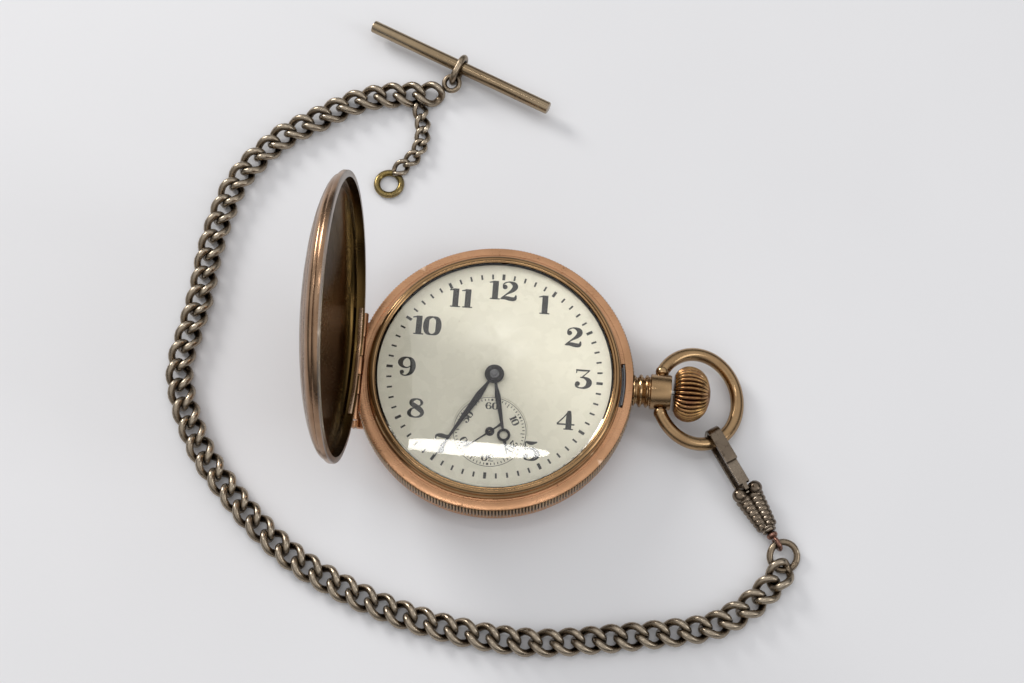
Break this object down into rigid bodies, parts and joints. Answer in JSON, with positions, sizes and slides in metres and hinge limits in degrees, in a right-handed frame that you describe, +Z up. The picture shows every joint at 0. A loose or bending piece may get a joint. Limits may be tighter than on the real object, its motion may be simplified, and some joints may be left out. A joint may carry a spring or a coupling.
{
  "type": "pocket watch",
  "caption": "Round hunter-cased pocket watch lying open, with a fluted crown, bow, swivel clasp, curb chain, T-bar and short drop chain.",
  "frame": {"origin": "centre of the flat on the outside of the back cover, where the watch rests", "axes": "+X from the dial's centre to the crown, +Y to twelve o'clock, +Z up out of the dial; -Z is the outward normal of the back cover's flat"},
  "size_m": [0.1169, 0.1223, 0.0583],
  "materials": {
    "rose_gold": "polished",
    "pale_gold": "polished",
    "brass": "satin",
    "steel": "polished",
    "blued_steel": "polished",
    "nickel": "brushed",
    "enamel": "gloss",
    "crystal": "clear",
    "old_silver": "tarnished",
    "t_bar_gilt": "worn"
  },
  "bodies": {
    "chain_side": {"chain": "old_silver", "drop_chain": "old_silver", "drop_ring": "brass", "clasp_ring": "old_silver", "clasp_swivel": "old_silver", "t_bar_link": "old_silver"},
    "t_bar": {"t_bar": "t_bar_gilt", "t_bar_loop": "old_silver"},
    "clasp": {"clasp_body": "old_silver", "clasp_pin": "old_silver"},
    "clasp_gate": {"clasp_gate": "old_silver"},
    "bow": {"bow": "pale_gold"},
    "case": {"case_band": "rose_gold", "pendant": "pale_gold", "pendant_sleeve": "steel", "front_hinge_pin": "steel", "back_hinge_pin": "steel", "fly_spring": "steel", "pillar_plate": "nickel", "barrel_bridge": "nickel", "train_bridge": "nickel", "balance_cock": "nickel", "pallet_bridge": "nickel", "dial": "enamel", "seconds_dial": "enamel", "case_screw_1": "blued_steel", "case_screw_2": "blued_steel", "bridge_screw_1": "blued_steel", "bridge_screw_2": "blued_steel", "bridge_screw_3": "blued_steel", "bridge_screw_4": "blued_steel", "hairspring": "blued_steel"},
    "front_cover": {"front_cover": "rose_gold"},
    "back_cover": {"back_cover": "rose_gold"},
    "inner_cover": {"inner_cover": "pale_gold"},
    "bezel": {"bezel": "rose_gold", "crystal": "crystal"},
    "lock_spring": {"lock_spring": "steel"},
    "setting_lever": {"setting_lever": "steel"},
    "crown": {"crown": "rose_gold", "stem": "steel"},
    "crown_wheel": {"crown_wheel": "steel"},
    "ratchet_wheel": {"ratchet_wheel": "steel"},
    "click": {"click": "steel"},
    "barrel": {"barrel": "brass", "mainspring": "steel"},
    "centre_wheel": {"centre_wheel": "brass"},
    "minute_hand": {"cannon_pinion": "steel", "minute_hand": "blued_steel"},
    "minute_wheel": {"minute_wheel": "brass"},
    "hour_hand": {"hour_wheel": "brass", "hour_hand": "blued_steel"},
    "third_wheel": {"third_wheel": "brass"},
    "second_hand": {"fourth_wheel": "brass", "second_hand": "blued_steel"},
    "escape_wheel": {"escape_wheel": "steel"},
    "pallet_fork": {"pallet_fork": "steel"},
    "balance": {"balance_wheel": "brass"},
    "regulator": {"regulator": "steel"}
  },
  "joints": [
    {"name": "clasp_swivel", "type": "hinge", "parent": "chain_side", "child": "clasp", "pos_m": [0.05114, -0.0234, 0.0021], "axis": [-0.5373, 0.8434, 0], "range_deg": [0, 45]},
    {"name": "clasp_gate", "type": "hinge", "parent": "clasp", "child": "clasp_gate", "pos_m": [0.04668, -0.0164, 0.0029], "axis": [-0.8434, -0.5373, 0], "range_deg": [0, 18], "stiffness_Nm_per_rad": 0.01},
    {"name": "bow_in_clasp", "type": "hinge", "parent": "clasp", "child": "bow", "pos_m": [0.04083, -0.00721, 0.00294], "axis": [0.7869, 0.558, -0.2633], "range_deg": [0, 30]},
    {"name": "bow_pivot", "type": "hinge", "parent": "bow", "child": "case", "pos_m": [0.0302, 0, 0.0065], "axis": [0, 1, 0], "range_deg": [0, 100]},
    {"name": "front_cover_hinge", "type": "hinge", "parent": "case", "child": "front_cover", "pos_m": [-0.0244, 0, 0.00905], "axis": [0, -1, 0], "range_deg": [-93, 0]},
    {"name": "back_cover_hinge", "type": "hinge", "parent": "case", "child": "back_cover", "pos_m": [-0.0244, 0, 0.00425], "axis": [0, 1, 0], "range_deg": [0, 100]},
    {"name": "inner_cover_hinge", "type": "hinge", "parent": "case", "child": "inner_cover", "pos_m": [-0.0244, 0, 0.00425], "axis": [0, 1, 0], "range_deg": [0, 60]},
    {"name": "bezel_lift", "type": "slide", "parent": "case", "child": "bezel", "axis": [0, 0, 1], "range_m": [0, 0.012]},
    {"name": "lock_spring_press", "type": "slide", "parent": "case", "child": "lock_spring", "axis": [-1, 0, 0], "range_m": [0, 0.0002], "stiffness_N_per_m": 500},
    {"name": "crown_pull", "type": "slide", "parent": "case", "child": "setting_lever", "axis": [1, 0, 0], "range_m": [-0.00045, 0.001]},
    {"name": "crown_turn", "type": "hinge", "parent": "setting_lever", "child": "crown", "pos_m": [0.03, 0, 0.0065], "axis": [1, 0, 0], "continuous": true},
    {"name": "crown_wheel_turn", "type": "hinge", "parent": "case", "child": "crown_wheel", "pos_m": [0.00956, 0.00623, 0.002], "axis": [0, 0, 1], "continuous": true},
    {"name": "ratchet_turn", "type": "hinge", "parent": "case", "child": "ratchet_wheel", "pos_m": [0.00161, 0.00912, 0.002], "axis": [0, 0, 1], "continuous": true},
    {"name": "click_lift", "type": "hinge", "parent": "case", "child": "click", "pos_m": [-0.00359, 0.01212, 0.002], "axis": [0, 0, -1], "range_deg": [0, 10], "stiffness_Nm_per_rad": 0.0001},
    {"name": "minute_hand_turn", "type": "hinge", "parent": "case", "child": "minute_hand", "pos_m": [0, 0, 0.0095], "axis": [0, 0, -1], "continuous": true},
    {"name": "minute_wheel_turn", "type": "hinge", "parent": "case", "child": "minute_wheel", "pos_m": [-0.00468, 0.0027, 0.008], "axis": [0, 0, -1], "continuous": true},
    {"name": "hour_hand_turn", "type": "hinge", "parent": "case", "child": "hour_hand", "pos_m": [0, 0, 0.0095], "axis": [0, 0, -1], "continuous": true},
    {"name": "second_hand_turn", "type": "hinge", "parent": "case", "child": "second_hand", "pos_m": [0, -0.0107, 0.0095], "axis": [0, 0, -1], "continuous": true},
    {"name": "third_wheel_turn", "type": "hinge", "parent": "case", "child": "third_wheel", "pos_m": [-0.00512, -0.0061, 0.005], "axis": [0, 0, -1], "continuous": true},
    {"name": "centre_wheel_turn", "type": "hinge", "parent": "case", "child": "centre_wheel", "pos_m": [0, 0, 0.005], "axis": [0, 0, -1], "continuous": true},
    {"name": "barrel_turn", "type": "hinge", "parent": "case", "child": "barrel", "pos_m": [0.00161, 0.00912, 0.0045], "axis": [0, 0, -1], "continuous": true},
    {"name": "escape_wheel_turn", "type": "hinge", "parent": "case", "child": "escape_wheel", "pos_m": [0.00572, -0.01171, 0.004], "axis": [0, 0, -1], "continuous": true},
    {"name": "pallet_fork_rock", "type": "hinge", "parent": "case", "child": "pallet_fork", "pos_m": [0.0081, -0.00825, 0.004], "axis": [0, 0, 1], "range_deg": [-5, 5]},
    {"name": "balance_swing", "type": "hinge", "parent": "case", "child": "balance", "pos_m": [0.01059, -0.00461, 0.003], "axis": [0, 0, 1], "range_deg": [-220, 220], "stiffness_Nm_per_rad": 0.000001},
    {"name": "regulator_set", "type": "hinge", "parent": "case", "child": "regulator", "pos_m": [0.01059, -0.00461, 0.0017], "axis": [0, 0, 1], "range_deg": [-20, 20]},
    {"name": "t_bar_swing", "type": "hinge", "parent": "chain_side", "child": "t_bar", "pos_m": [-0.01301, 0.06177, 0.00215], "axis": [0, 0, 1], "range_deg": [-60, 30]}
  ],
  "couplings": [
    {"joint": "inner_cover_hinge", "follows": "back_cover_hinge", "ratio": 0.6},
    {"joint": "crown_wheel_turn", "follows": "crown_turn", "ratio": 0.375},
    {"joint": "ratchet_turn", "follows": "crown_turn", "ratio": -0.33333},
    {"joint": "minute_wheel_turn", "follows": "minute_hand_turn", "ratio": -0.33333},
    {"joint": "hour_hand_turn", "follows": "minute_hand_turn", "ratio": 0.083333},
    {"joint": "third_wheel_turn", "follows": "second_hand_turn", "ratio": -0.13333},
    {"joint": "centre_wheel_turn", "follows": "second_hand_turn", "ratio": 0.016667},
    {"joint": "barrel_turn", "follows": "second_hand_turn", "ratio": -0.002778},
    {"joint": "escape_wheel_turn", "follows": "second_hand_turn", "ratio": -10}
  ]
}
